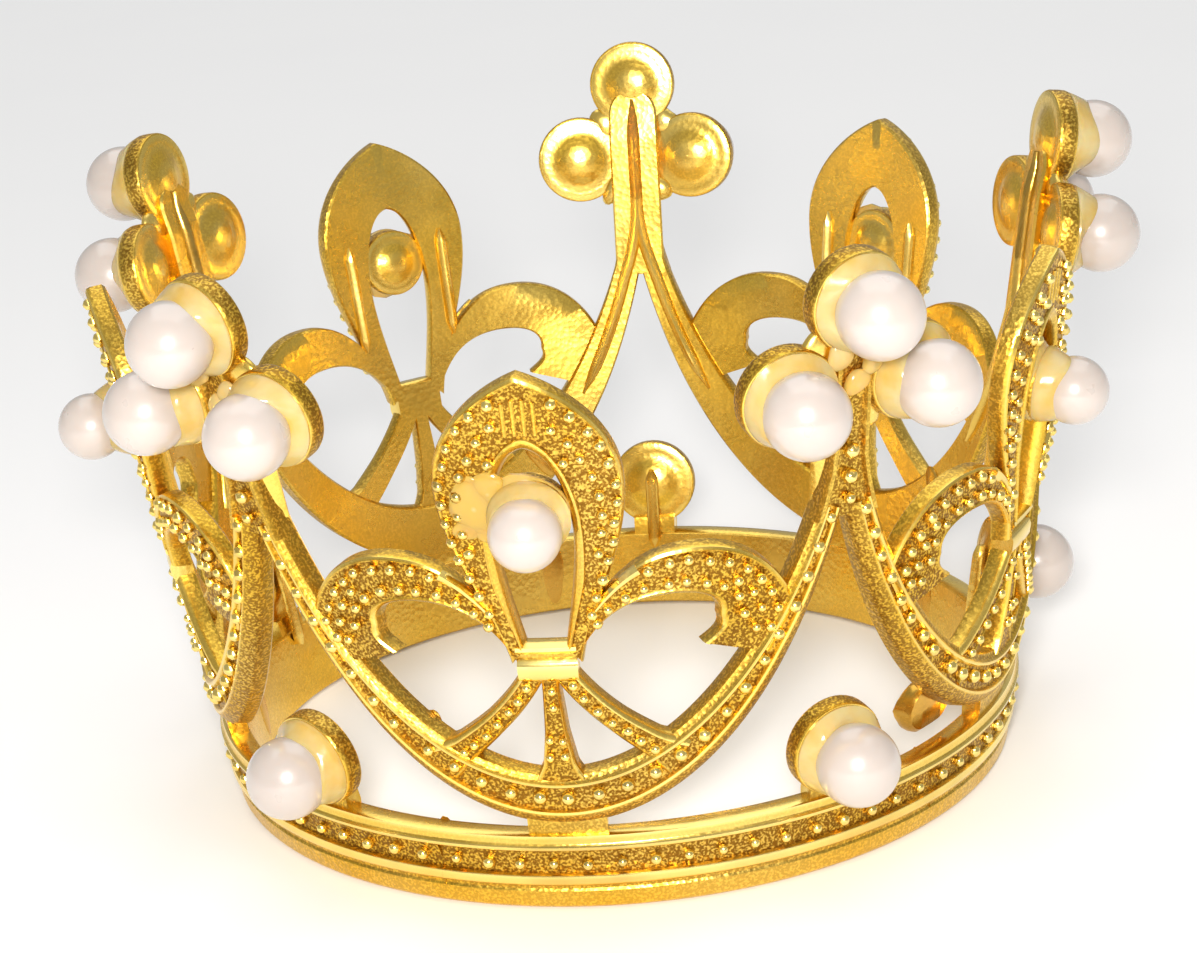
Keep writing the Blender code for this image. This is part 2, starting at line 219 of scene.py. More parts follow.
# %% [markdown]
# ## Beads and drops
# The castings carry hundreds of beads. Each is a small ball sunk in the ground, so a coarse ball of a few
# dozen faces is enough. A row of them is made at once: one ball's points are added to every bead's centre.
# Drops of solder and glue are balls too, stretched and made uneven by two waves.

# %% Beads and drops
rng = np.random.default_rng(11)
BALL_SIDES, BALL_RINGS = 8, 5
ROW_STEPS = 400


def ball_points():
    """Rings of latitude from pole to pole; a point is (cos a sin b, sin a sin b, -cos b)."""
    b = np.linspace(0.06 * math.pi, 0.94 * math.pi, BALL_RINGS)[:, None]
    a = np.linspace(0, 2 * math.pi, BALL_SIDES, endpoint=False)[None, :]
    return np.stack([np.cos(a) * np.sin(b), np.sin(a) * np.sin(b), -np.cos(b) + 0 * a], -1)


def beads(places, radius, out, sector, wobble=0.06):
    """Balls of about one radius, each centred `out` from the wall, slightly uneven as cast beads are."""
    places = places + rng.normal(0, wobble, places.shape)
    size = radius * rng.uniform(0.88, 1.1, len(places))
    origin, along, up, outward = seat(places[:, 0], places[:, 1], sector)
    ball = ball_points()
    axes = np.stack([along, up, outward], 1)
    centre = origin + outward * out * MM
    offsets = np.einsum("rsk,nkx->nrsx", ball, axes) * size[:, None, None, None] * MM
    points = centre[:, None, None, :] + offsets
    return [shell(one, np.zeros((1, 1))) for one in points]


def bead_row(path, pitch, radius, out, sector, start=0.5, wobble=0.06):
    """Beads at equal steps along a path, the first of them `start` of a step in."""
    length = arc_length(path)
    fine = even(path, ROW_STEPS)
    places = np.arange(start * pitch, length - 0.25 * pitch, pitch) / length * (ROW_STEPS - 1)
    spots = np.stack([np.interp(places, np.arange(ROW_STEPS), fine[:, i]) for i in range(2)], 1)
    return beads(spots, radius, out, sector, wobble)


def blob(u, z, out, half_sizes, sector, lean=0.0, rough=0.15):
    """An uneven lump: a ball stretched to half_sizes, its girth 1 + 0.12 sin(2a + p) + 0.08 sin(3a + q).

    half_sizes are along, up and out, turned by `lean` on the wall; a is the angle round the lump.
    """
    origin, along, up, outward = seat(u, z, sector)
    turned_along = along * math.cos(lean) + up * math.sin(lean)
    turned_up = up * math.cos(lean) - along * math.sin(lean)
    b = np.linspace(0.04 * math.pi, 0.96 * math.pi, 12)[:, None]
    a = np.linspace(0, 2 * math.pi, 20, endpoint=False)[None, :]
    p, q = rng.uniform(0, 2 * math.pi, 2)
    swell = 1 + 0.12 * np.sin(2 * a + p) * np.sin(b) + 0.08 * np.sin(3 * a + q) * np.sin(b)
    flat = [np.cos(a) * np.sin(b) * swell * half_sizes[0], np.sin(a) * np.sin(b) * swell * half_sizes[1],
            -np.cos(b) * (half_sizes[2] + 0 * a)]
    axes = (turned_along, turned_up, outward)
    offsets = sum(part[..., None] * axis for part, axis in zip(flat, axes)) * MM
    points = origin + outward * out * MM + offsets
    return shell(points, np.full((1, 1), rough))


# %% [markdown]
# ## A piece
# A piece is a list of shells joined into one mesh, with the roughness kept as a vertex attribute so that the
# gilding can tell a polished rail from stippled ground. Its place is in its vertices, so the object itself
# stays at the origin. Each piece rides on the crown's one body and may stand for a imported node.

# %% Making a piece
def make_piece(name, shells, material, stands_for=None, sharp_degrees=42):
    """One object from many shells; edges sharper than sharp_degrees are kept crisp."""
    counts = np.cumsum([0] + [len(verts) for verts, *_ in shells])
    verts = np.concatenate([item[0] for item in shells])
    quads = np.concatenate([item[1] + first for item, first in zip(shells, counts)])
    triangles = np.concatenate([item[2] + first for item, first in zip(shells, counts)])
    mesh = bpy.data.meshes.new(name)
    mesh.from_pydata(verts.tolist(), [], quads.tolist() + triangles.tolist())
    marks = mesh.attributes.new("ground", "FLOAT", "POINT")
    marks.data.foreach_set("value", np.concatenate([item[3] for item in shells]).astype(np.float32))
    mesh.shade_smooth()
    mesh.set_sharp_from_angle(angle=math.radians(sharp_degrees))
    mesh.materials.append(material)
    piece = bpy.data.objects.new(name, mesh)
    bpy.context.scene.collection.objects.link(piece)
    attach(piece, "root")
    if stands_for:
        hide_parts(stands_for)
    return piece


# %% [markdown]
# ## The gilding
# Bright yellow gilding lies over a coarse casting. Two node groups hold what all the metal shares.
# `cast_relief` turns the `ground` attribute into stipple and grain. `gilding` gives the colour: clear yellow,
# paler as a painted highlight on polished rails and beads, brown in the sunk ground as dirt and painted shade,
# with broad warm and pale patches.

# %% Node helpers
def add(tree, kind, inputs=(), **settings):
    """A node with its settings; each input takes another node's output or a plain value."""
    made = tree.nodes.new(kind)
    for name, value in settings.items():
        setattr(made, name, value)
    for place, value in dict(inputs).items():
        if isinstance(value, bpy.types.NodeSocket):
            tree.links.new(value, made.inputs[place])
        else:
            made.inputs[place].default_value = value
    return made


def node_group(name, inputs, outputs):
    """An empty shader group with named sockets; each is (name, kind, default)."""
    tree = bpy.data.node_groups.new(name, "ShaderNodeTree")
    for in_out, sockets in (("INPUT", inputs), ("OUTPUT", outputs)):
        for title, kind, default in sockets:
            socket = tree.interface.new_socket(title, in_out=in_out, socket_type=kind)
            if default is not None:
                socket.default_value = default
    return tree, tree.nodes.new("NodeGroupInput").outputs, tree.nodes.new("NodeGroupOutput").inputs


def noise(tree, vector, scale, detail=3.0):
    made = add(tree, "ShaderNodeTexNoise", {"Vector": vector, "Scale": scale, "Detail": detail})
    return made.outputs["Fac"]


def mathed(tree, operation, a, b=0.0, c=0.0):
    return add(tree, "ShaderNodeMath", {0: a, 1: b, 2: c}, operation=operation).outputs[0]


def spread(tree, value, low, high, to_low, to_high):
    """The value's range low to high, stretched to to_low to to_high and held there."""
    places = {"Value": value, "From Min": low, "From Max": high, "To Min": to_low, "To Max": to_high}
    return add(tree, "ShaderNodeMapRange", places).outputs["Result"]


def tinted(tree, factor, colour_a, colour_b):
    """Colour a where the factor is 0, colour b where it is 1, put into the sockets that are enabled."""
    made = add(tree, "ShaderNodeMix", data_type="RGBA")
    for title, value in {"Factor": factor, "A": colour_a, "B": colour_b}.items():
        socket = [item for item in made.inputs if item.name == title and item.enabled][0]
        if isinstance(value, bpy.types.NodeSocket):
            tree.links.new(value, socket)
        else:
            socket.default_value = value
    return [item for item in made.outputs if item.enabled][0]


def new_material(name):
    """A material's tree, its principled shader and the object's own coordinates."""
    material = bpy.data.materials.new(name)
    material.use_nodes = True
    tree = material.node_tree
    place = tree.nodes.new("ShaderNodeTexCoord").outputs["Object"]
    return material, tree, tree.nodes["Principled BSDF"], place


def set_inputs(node, values):
    for title, value in values.items():
        node.inputs[title].default_value = value


def ground_marks(tree):
    """The mesh's own `ground` attribute."""
    return add(tree, "ShaderNodeAttribute", attribute_name="ground").outputs["Fac"]


# %% Groups for the metal
FLOAT, COLOUR, VECTOR = "NodeSocketFloat", "NodeSocketColor", "NodeSocketVector"


def cast_relief():
    """Height: stipple where the ground is rough, fine grain everywhere. Roughness follows both."""
    tree, given, result = node_group("cast_relief", [("Vector", VECTOR, None), ("Ground", FLOAT, 0.2)],
                                     [("Height", FLOAT, None), ("Roughness", FLOAT, None)])
    cells = add(tree, "ShaderNodeTexVoronoi", {"Vector": given["Vector"], "Scale": 2300.0})
    stipple = mathed(tree, "MULTIPLY", cells.outputs["Distance"], given["Ground"])
    grain = noise(tree, given["Vector"], 1500.0)
    swell = noise(tree, given["Vector"], 420.0, 2.0)
    fine = mathed(tree, "MULTIPLY_ADD", grain, 0.12, stipple)
    waviness = mathed(tree, "MULTIPLY_ADD", given["Ground"], 0.6, 0.12)
    tree.links.new(mathed(tree, "MULTIPLY_ADD", swell, waviness, fine), result["Height"])
    patchy = spread(tree, noise(tree, given["Vector"], 260.0), 0.3, 0.7, 0.0, 0.12)
    cast = mathed(tree, "MULTIPLY_ADD", given["Ground"], 0.24, 0.15)
    tree.links.new(mathed(tree, "ADD", cast, patchy), result["Roughness"])
    return tree


def gilding():
    """Colour: clear gilding with a painted highlight on polished parts, and tarnish in broad patches and, with
    painted shade, in the ground.
    """
    # Pale also paints the highlight on polished parts; the tarnish colour also paints the shade in the sunk
    # ground.
    tree, given, result = node_group(
        "gilding", [("Vector", VECTOR, None), ("Ground", FLOAT, 0.2),
                    ("Clear", COLOUR, (0.98, 0.62, 0.06, 1)), ("Pale", COLOUR, (1.0, 0.80, 0.27, 1)),
                    ("Tarnish_and_shade", COLOUR, (0.24, 0.110, 0.013, 1))], [("Colour", COLOUR, None)])
    broad = spread(tree, noise(tree, given["Vector"], 90.0, 2.0), 0.35, 0.65, 0.0, 0.35)
    # Painted highlight: the polished rails and beads are turned paler.
    painted_highlight = spread(tree, given["Ground"], 0.0, 0.3, 0.65, 0.0)
    clean = tinted(tree, mathed(tree, "ADD", broad, painted_highlight), given["Clear"], given["Pale"])
    # Dirt and painted shade: the sunk ground is turned brown, with sparse lighter specks.
    specks = spread(tree, noise(tree, given["Vector"], 5200.0, 1.0), 0.46, 0.64, 0.97, 0.28)
    dirt_and_shade = mathed(tree, "MULTIPLY", given["Ground"], specks)
    worn = spread(tree, noise(tree, given["Vector"], 110.0), 0.50, 0.72, 0.0, 0.30)
    tree.links.new(tinted(tree, mathed(tree, "MAXIMUM", dirt_and_shade, worn), clean, given["Tarnish_and_shade"]),
                   result["Colour"])
    return tree


CAST_RELIEF = cast_relief()
GILDING = gilding()


# %% Metal materials
def gilt(name, bump, tones):
    """Gilding and relief on one principled shader; the ground comes from the mesh's own attribute."""
    material, tree, shader, place = new_material(name)
    ground = ground_marks(tree)
    relief = add(tree, "ShaderNodeGroup", node_tree=CAST_RELIEF)
    colour = add(tree, "ShaderNodeGroup", node_tree=GILDING)
    for group in (relief, colour):
        tree.links.new(place, group.inputs["Vector"])
        tree.links.new(ground, group.inputs["Ground"])
    set_inputs(colour, tones)
    raised = add(tree, "ShaderNodeBump", {"Height": relief.outputs["Height"], "Strength": bump,
                                          "Distance": 0.00012})
    tree.links.new(colour.outputs["Colour"], shader.inputs["Base Color"])
    tree.links.new(relief.outputs["Roughness"], shader.inputs["Roughness"])
    tree.links.new(raised.outputs["Normal"], shader.inputs["Normal"])
    set_inputs(shader, {"Metallic": 1.0})
    return material


GOLD = gilt("gilded_casting", 0.55, {})
SOLDER = gilt("gilded_solder", 0.35, {"Clear": (0.76, 0.42, 0.05, 1), "Pale": (0.82, 0.52, 0.12, 1)})


# %% [markdown]
# ## Pearl and glue
# The pearls are imitation: a ball under a pearly coat, a little pink, with a painted sheen that makes it paler
# where it turns away. The glue that holds them has yellowed. It is cloudy and lets some light through: part
# glass and part milk.

# %% Pearl and glue materials
def pearl_material():
    """A cloudy body with a painted sheen, paler where it turns away, under a glossy coat with hardly any
    dimples.
    """
    material, tree, shader, place = new_material("pearl_coat")
    cloud = spread(tree, noise(tree, place, 140.0, 2.0), 0.35, 0.65, 0.0, 1.0)
    body = tinted(tree, cloud, (0.46, 0.40, 0.36, 1), (0.51, 0.445, 0.40, 1))
    # Painted sheen: the pearl's colour turns paler towards its rim as seen from the camera.
    painted_sheen = add(tree, "ShaderNodeLayerWeight", {"Blend": 0.35}).outputs["Facing"]
    tree.links.new(tinted(tree, painted_sheen, body, (0.60, 0.52, 0.46, 1)), shader.inputs["Base Color"])
    mottle = spread(tree, noise(tree, place, 300.0), 0.3, 0.7, 0.27, 0.33)
    tree.links.new(mottle, shader.inputs["Roughness"])
    dimples = add(tree, "ShaderNodeBump", {"Height": noise(tree, place, 420.0, 1.0), "Strength": 0.05,
                                           "Distance": 0.0001})
    tree.links.new(dimples.outputs["Normal"], shader.inputs["Normal"])
    set_inputs(shader, {"Subsurface Weight": 0.25, "Subsurface Radius": (1.0, 0.55, 0.4),
                        "Subsurface Scale": 0.0006, "IOR": 1.75, "Coat Weight": 0.8,
                        "Coat Roughness": 0.10})
    return material


def glue_material():
    """Cream where it stands thick, and deeper yellow where `ground` marks it as lying thin on the gold."""
    material, tree, shader, place = new_material("yellowed_glue")
    age = spread(tree, noise(tree, place, 380.0), 0.35, 0.65, 0.0, 1.0)
    cream = tinted(tree, age, (1.0, 0.66, 0.16, 1), (1.0, 0.80, 0.38, 1))
    aged = tinted(tree, ground_marks(tree), cream, (0.97, 0.62, 0.12, 1))
    tree.links.new(aged, shader.inputs["Base Color"])
    tree.links.new(spread(tree, noise(tree, place, 800.0), 0.3, 0.7, 0.08, 0.25), shader.inputs["Roughness"])
    waves = add(tree, "ShaderNodeBump", {"Height": noise(tree, place, 650.0, 2.0), "Strength": 0.3,
                                         "Distance": 0.0002})
    tree.links.new(waves.outputs["Normal"], shader.inputs["Normal"])
    set_inputs(shader, {"Transmission Weight": 0.55, "IOR": 1.48, "Subsurface Weight": 0.3,
                        "Subsurface Radius": (1.0, 0.6, 0.2), "Subsurface Scale": 0.0008})
    return material


PEARL = pearl_material()
GLUE = glue_material()


# %% [markdown]
# ## The base band
# The band is a straight strip on the flat wall: a smooth lower lip, a rail, a sunk channel with a row of
# beads, a second rail and a plain top lip. One profile says all of that, and rolling it makes the ring. The
# rails could be pieces of their own, but then each would need its own fit to the band.

# %% Base band
# The smooth lower lip and the groove above it are marked 0.5 and 0.7, which also paints them brown: painted
# shade.
BAND_PROFILE = [
    (0, 0.00, -1.85, 0.2), (0, 0.00, -0.25, 0.3), (0, 0.12, -0.08, 0.3), (0, 0.30, 0.00, 0.5),
    (0, 1.45, 0.00, 0.5), (0, 1.62, -0.14, 0.7), (0, 1.85, -0.14, 0.7), (0, 2.05, 0.10, 0.2),
    (0, 2.25, 0.20, 0.0), (0, 2.60, 0.20, 0.0), (0, 2.80, 0.10, 0.0), (0, 2.92, -0.30, 1.0),
    (0, 3.80, -0.32, 1.0), (0, 4.75, -0.30, 1.0), (0, 4.88, 0.05, 0.0), (0, 5.02, 0.16, 0.0),
    (0, 5.20, 0.14, 0.0), (0, 5.32, -0.05, 0.3), (0, 5.45, -0.12, 0.2), (0, 5.75, -0.12, 0.2),
    (0, 6.00, -0.20, 0.0), (0, 6.10, -0.45, 0.1), (0, 6.10, -1.80, 0.2), (0, 5.95, -2.00, 0.2),
    (0, 3.00, -2.00, 0.25), (0, 0.15, -2.00, 0.25),
]
BEAD_PITCH = 2.65
BEAD_LINE = 3.75               # the beads' height in the channel
BEAD_RADIUS = 0.46
SEAM_GAP = 0.002               # what each band leaves free at a seam


def level(low_u, high_u, z, count):
    """A path along the wall at one height."""
    return np.stack([np.linspace(low_u, high_u, count), np.full(count, float(z))], 1)


def base_band(sector):
    first, last = -SEAM + SEAM_GAP, 2 * HALF_PITCH - SEAM - SEAM_GAP
    body = strip(level(first, last, 0, 72), level(first, last, BAND_HEIGHT, 72), BAND_PROFILE, sector)
    row = level(first, last, BEAD_LINE, 60)
    return [body, *bead_row(row, BEAD_PITCH, BEAD_RADIUS, -0.12, sector)]


# %% [markdown]
# ## The swag and its arms
# The swag is a hanging curve that turns up into an arm on each side and leans on the stem. A casting holds
# its own swag from the seam on the left to the stem, and the next swag's first arm. The rails keep their
# width while the channel between them narrows.

# %% Swag and arms
SWAG_PROFILE = [
    (0, -0.15, -1.75, 0.7), (0, -0.02, -0.85, 0.8), (0, 0.06, -0.60, 0.9), (0, 0.50, -0.20, 0.9),
    (0, 0.92, 0.06, 0.8), (0, 1.06, 0.12, 0.1), (0, 1.22, 0.06, 0.2), (0, 1.36, -0.28, 1.0),
    (0.5, 0.10, -0.34, 1.0), (1, -1.05, -0.30, 1.0), (1, -0.96, 0.02, 0.1), (1, -0.86, 0.13, 0.0),
    (1, -0.66, 0.12, 0.2), (1, -0.54, -0.06, 0.5), (1, -0.42, -0.22, 0.8), (1, -0.10, -0.36, 0.6),
    (1, 0.00, -0.60, 0.7), (1, 0.05, -1.75, 0.7), (1, -0.15, -2.00, 0.25), (0.5, 0.00, -2.00, 0.25),
    (0, 0.05, -2.00, 0.25),
]
SWAG_LINE = 9.0                # the swag's lowest point
SWAG_BEAD_PITCH = 2.25
FORK_TOP = 29.4                # where the two arms have become one stem
SEAM_REACH = 0.1               # points nearer the seam than this give way to the seam's own point


def swag_curve():
    """Half a swag's centre line, from its lowest point to the side cups' height."""
    rise = SIDE_CUP[1] - SWAG_LINE
    return even(bezier((0, SWAG_LINE), (0.44 * HALF_PITCH, SWAG_LINE),
                       (0.92 * HALF_PITCH, SWAG_LINE + 0.33 * rise), (1.03 * HALF_PITCH, SIDE_CUP[1])), 240)


def swag_half_width(path):
    """Broad at the bottom, then narrowing with height to an arm."""
    return np.interp(path[:, 1], [SWAG_LINE, 25.0, FORK_TOP], [2.1, 1.2, 1.0])


HALF_SWAG = swag_curve()
ARM = HALF_SWAG[HALF_SWAG[:, 1] < FORK_TOP]


def arm_u(z):
    return float(np.interp(z, HALF_SWAG[:, 1], HALF_SWAG[:, 0]))


def arm_z(u):
    return float(np.interp(u, HALF_SWAG[:, 0], HALF_SWAG[:, 1]))


print("an arm is", round(arc_length(ARM), 1), "mm long")


def swags(sector):
    """Both ends at a seam stop at one shared point, so no gap shows where the castings meet."""
    meeting = np.array([[SEAM, arm_z(SEAM)]])
    left = flipped(np.concatenate([ARM[ARM[:, 0] < SEAM - SEAM_REACH], meeting]))[::-1]
    own = even(chain(left, ARM), 110)
    beyond = np.concatenate([meeting, ARM[ARM[:, 0] > SEAM + SEAM_REACH]])
    following = even(flipped(beyond, HALF_PITCH)[::-1], 50)
    shells = []
    for path in (own, following):
        low, high = edges(path, swag_half_width(path))
        shells.append(strip(low, high, SWAG_PROFILE, sector))
        centre = between(low, high, 0.56)
        shells += bead_row(centre, SWAG_BEAD_PITCH, 0.54, -0.10, sector, start=0.35)
    return shells


# %% [markdown]
# ## The stem
# Two arms meet under a finial and go on up as one tapering stem, narrow in front and broad behind, because
# a casting needs sloping sides to leave its mould. Its rails are the arms' outer rails. Two large beads and
# a small one stand between them. A broad slab makes its back and runs up behind the upper cup.

# %% Stem
STEM_PROFILE = [
    (0, 0.00, -1.50, 0.8), (0, 0.00, -0.50, 0.8), (0, 0.05, -0.10, 0.6), (0, 0.14, 0.10, 0.6),
    (0, 0.42, 0.10, 0.6), (0, 0.54, -0.24, 0.9), (0.5, 0.00, -0.28, 1.0), (1, -0.54, -0.24, 0.9),
    (1, -0.42, 0.10, 0.6), (1, -0.14, 0.10, 0.6), (1, -0.05, -0.10, 0.6), (1, 0.00, -0.50, 0.8),
    (1, 0.00, -1.50, 0.8),
]
SLAB_PROFILE = [
    (0, 0.00, -1.80, 0.25), (0, 0.30, -1.20, 0.2), (0, 0.75, -0.75, 0.2), (1, -0.75, -0.75, 0.2),
    (1, -0.30, -1.20, 0.2), (1, 0.00, -1.80, 0.25), (1, -0.15, -2.00, 0.25), (0.5, 0.00, -2.06, 0.25),
    (0, 0.15, -2.00, 0.25),
]
ON_CUP_FROM = 40.2             # above this the back of the stem gives way to the upper cup


def on_cup(path):
    """How far the stem's back is let in where it crosses the upper cup."""
    return 0.25 * np.clip((path[:, 1] - ON_CUP_FROM) / 2.0, 0, 1)


def upright(u, low_z, high_z, count):
    """A path straight up the wall."""
    return np.stack([np.full(count, float(u)), np.linspace(low_z, high_z, count)], 1)


def stem(sector):
    path = upright(HALF_PITCH, 28.4, 41.0, 40)
    parting = np.clip((33.5 - path[:, 1]) / 4.2, 0, 2)
    right, left = edges(path, 1.38 + 0.8 * parting ** 1.5)
    behind = upright(HALF_PITCH, 28.6, 43.9, 40)
    half = np.interp(behind[:, 1], [28.6, 29.8, 40.0, 42.5, 43.4, 43.9], [2.40, 2.1, 2.0, 1.9, 1.5, 0.7])
    slab_right, slab_left = edges(behind, half)
    large = np.array([[HALF_PITCH, 33.4], [HALF_PITCH, 31.4]])
    small = np.array([[HALF_PITCH, 29.7]])
    return [strip(right, left, STEM_PROFILE, sector),
            strip(slab_right, slab_left, SLAB_PROFILE, sector, on_cup(behind)),
            *beads(large, 0.56, 0.0, sector, 0.03), *beads(small, 0.42, 0.04, sector, 0.03)]


# %% [markdown]
# ## Ribs behind
# Behind, the casting is smooth, but a rib runs down from the upper cup and parts along both arms, which
# stiffens them. The medallion has a short rib on each side of its hole, and one more runs up behind the base
# cup. A rib is a half-round profile laid on the back of the wall.

# %% Back ribs
RIB_PROFILE = [
    (0, 0, -1.85, 0.25), (0, 0, -2.15, 0.2), (0.2, 0, -2.42, 0.1), (0.5, 0, -2.55, 0.1),
    (0.8, 0, -2.42, 0.1), (1, 0, -2.15, 0.2), (1, 0, -1.85, 0.25),
]
ARM_RIB_HALF = 0.52


def rib(path, half, lift, sector):
    """A half-round rib whose ends die away into the wall."""
    share = np.linspace(0, 1, len(path))
    taper = np.clip(np.minimum(share, 1 - share) * 9, 0.1, 1) ** 0.5
    low, high = edges(path, half * taper)
    return strip(low, high, RIB_PROFILE, sector, lift + 0.35 * (1 - taper))


def back_ribs(sector):
    arm = ARM[(ARM[:, 1] > 18.5) & (ARM[:, 1] < 28.5)][::-1]
    top = upright(HALF_PITCH, 43.3, 35.0, 24)
    join = bezier(top[-1], (HALF_PITCH, 32.5), (arm[0][0] + 0.8, 30.4), arm[0], 16)
    left = even(chain(top, join, arm), 70)
    shells = [rib(path, ARM_RIB_HALF, on_cup(left), sector) for path in (left, flipped(left, HALF_PITCH))]
    for side in (-1, 1):
        shells.append(rib(upright(side * 4.25, 25.2, 34.2, 30), 0.5, 0.4, sector))
    shells.append(rib(upright(HALF_PITCH, 4.9, 11.6, 20), 0.6, -0.3, sector))
    return shells


# %% [markdown]
# ## The medallion's loop
# The loop is a teardrop standing on its collar. It is a strip between two edges, the teardrop's outline and
# the hole's, so it can be broad at the top and narrow at the foot. Its ground carries staggered rows of
# beads, its inner edge is a polished lip, and fine ridges run down under the tip.

# %% Loop
LOOP_PROFILE = [
    (0, -0.10, -1.40, 0.7), (0, 0.00, -0.50, 0.6), (0, 0.12, -0.20, 0.1), (0, 0.34, -0.08, 0.3),
    (0, 0.58, -0.20, 1.0), (0.33, 0.10, -0.14, 1.0), (0.6, 0.00, -0.12, 1.0), (1, -0.95, -0.20, 1.0),
    (1, -0.82, 0.00, 0.2), (1, -0.60, 0.06, 0.4), (1, -0.32, -0.05, 0.3), (1, -0.08, -0.35, 0.2),
    (1, 0.00, -0.70, 0.3), (1, 0.08, -1.40, 0.4), (1, -0.10, -1.60, 0.25), (0.5, 0.00, -1.60, 0.25),
    (0, 0.10, -1.60, 0.25),
]
FINE_RIDGE_PROFILE = [
    (0, 0, -0.40, 0.6), (0, 0, -0.10, 0.6), (0.3, 0, 0.00, 0.4), (0.7, 0, 0.00, 0.4), (1, 0, -0.10, 0.6),
    (1, 0, -0.40, 0.6),
]
LOOP_TIP = 42.0
LOOP_HALF_WIDTH = 6.2
WIDEST_Z = 33.6
HOLE_TOP = 36.6
HOLE_HALF_WIDTH = 2.65
HOLE_WIDEST_Z = 30.0
LOOP_BEAD_PITCH = 1.45
LOOP_ROWS = [(0.17, 10, 2), (0.46, 26, 3), (0.75, 58, 8)]   # share of the width, points left out at each end
FINE_RIDGES = (-0.95, -0.32, 0.32, 0.95)


def loop_edges():
    """The outline and the hole, each up the right side, over the top and down the left."""
    outline = chain(
        even(bezier((0, LOOP_TIP), (2.3, 41.1), (LOOP_HALF_WIDTH, 38.2), (LOOP_HALF_WIDTH, WIDEST_Z)), 42),
        even(bezier((LOOP_HALF_WIDTH, WIDEST_Z), (LOOP_HALF_WIDTH, 28.5), (3.3, 24.5), (2.5, 20.2)), 42))
    side, widest = HOLE_HALF_WIDTH, (HOLE_HALF_WIDTH, HOLE_WIDEST_Z)
    hole = chain(even(bezier((0, HOLE_TOP), (1.7, 36.3), (side, 33), widest), 42),
                 even(bezier(widest, (side, 27), (1.9, 24), (1.4, 21.4)), 42))
    return chain(outline[::-1], flipped(outline)), chain(hole[::-1], flipped(hole))


def loop(sector):
    """The strip, then each bead row up one side and up the other, then the fine ridges."""
    outline, hole = loop_edges()
    shells = [strip(outline, hole, LOOP_PROFILE, sector)]
    half = len(outline) // 2
    for fraction, first, spare in LOOP_ROWS:
        row, last = between(outline, hole, fraction), half - spare
        for side in (row[first:last], row[2 * half - last:2 * half - first][::-1]):
            shells += bead_row(side, LOOP_BEAD_PITCH, 0.45, 0.02, sector, start=0.2 + fraction)
    for u in FINE_RIDGES:
        low, high = edges(upright(u, 37.7, 40.4 - 0.35 * abs(u), 12), np.full(12, 0.15))
        shells.append(strip(low, high, FINE_RIDGE_PROFILE, sector))
    return shells


# %% [markdown]
# ## The scrolls
# A scroll springs from the loop's foot, arches over the side opening and hooks down on to the arm, where it
# ends in a small barb. It too is a strip between two edges. The left one only touches the neighbouring
# casting's arm, where it is soldered.

# %% Scrolls
SCROLL_PROFILE = [
    (0, -0.10, -1.40, 0.7), (0, 0.00, -0.50, 0.6), (0, 0.12, -0.18, 0.1), (0, 0.36, -0.08, 0.3),
    (0, 0.52, -0.20, 1.0), (0.5, 0.00, -0.13, 1.0), (1, -0.52, -0.20, 1.0), (1, -0.34, -0.08, 0.3),
    (1, -0.12, -0.20, 0.1), (1, 0.00, -0.50, 0.6), (1, 0.10, -1.40, 0.7), (1, -0.10, -1.60, 0.25),
    (0.5, 0.00, -1.60, 0.25), (0, 0.10, -1.60, 0.25),
]
RIDGE_PROFILE = [
    (0, 0, -0.5, 0.1), (0, 0, -0.1, 0.0), (0.25, 0, 0.14, 0.0), (0.6, 0, 0.16, 0.0), (1, 0, -0.1, 0.0),
    (1, 0, -0.5, 0.1),
]
HOOK_Z = 22.6                  # where the scroll's outer edge comes down on to the arm
# share of the width, first and last point, step, bead radius, start of the row
SCROLL_ROWS = [(0.27, 14, 56, 1.4, 0.44, 0.9), (0.70, 6, 54, 1.4, 0.43, 0.3), (0.48, 36, 60, 1.5, 0.42, 0.6)]


def scroll_edges():
    """The upper and the lower edge, in three matching stretches: root, arch and hook."""
    hook = arm_u(HOOK_Z)
    crest = (0.60 * hook, 28.35)
    upper = chain(
        even(bezier((2.9, 23.6), (6.0, 28.0), (0.46 * hook, 28.4), crest), 26),
        even(bezier(crest, (0.79 * hook, 28.2), (0.93 * hook, 26.0), (hook, HOOK_Z)), 26),
        even(np.array([(hook, HOOK_Z), (arm_u(19.2), 19.2)]), 10))
    under, throat, barb = (0.50 * hook, 24.85), (0.685 * hook, 22.7), (0.615 * hook, 20.75)
    lower = chain(
        even(bezier((1.9, 20.0), (3.5, 23.5), (0.32 * hook, 24.9), under), 26),
        even(bezier(under, (0.63 * hook, 24.8), (0.70 * hook, 24.0), throat), 26),
        even(bezier(throat, (0.70 * hook, 21.9), (0.69 * hook, 21.6), barb), 10))
    return upper, lower


def scroll(sector, mirror):
    upper, lower = scroll_edges()
    if mirror:
        upper, lower = flipped(upper), flipped(lower)
    shells = [strip(upper, lower, SCROLL_PROFILE, sector)]
    for fraction, first, last, pitch, radius, start in SCROLL_ROWS:
        row = between(upper, lower, fraction)[first:last]
        shells += bead_row(row, pitch, radius, 0.02, sector, start=start)
    root = even(between(upper, lower, 0.16)[3:16], 16)
    low, high = edges(root, np.linspace(0.15, 0.42, 16))
    shells.append(strip(low, high, RIDGE_PROFILE, sector))
    return shells


# %% [markdown]
# ## Collar and prongs
# The collar is a short moulding with two polished ridges. Three prongs spread from it down to the swag, each
# widening as it goes, with a row of beads that becomes two on the middle one.

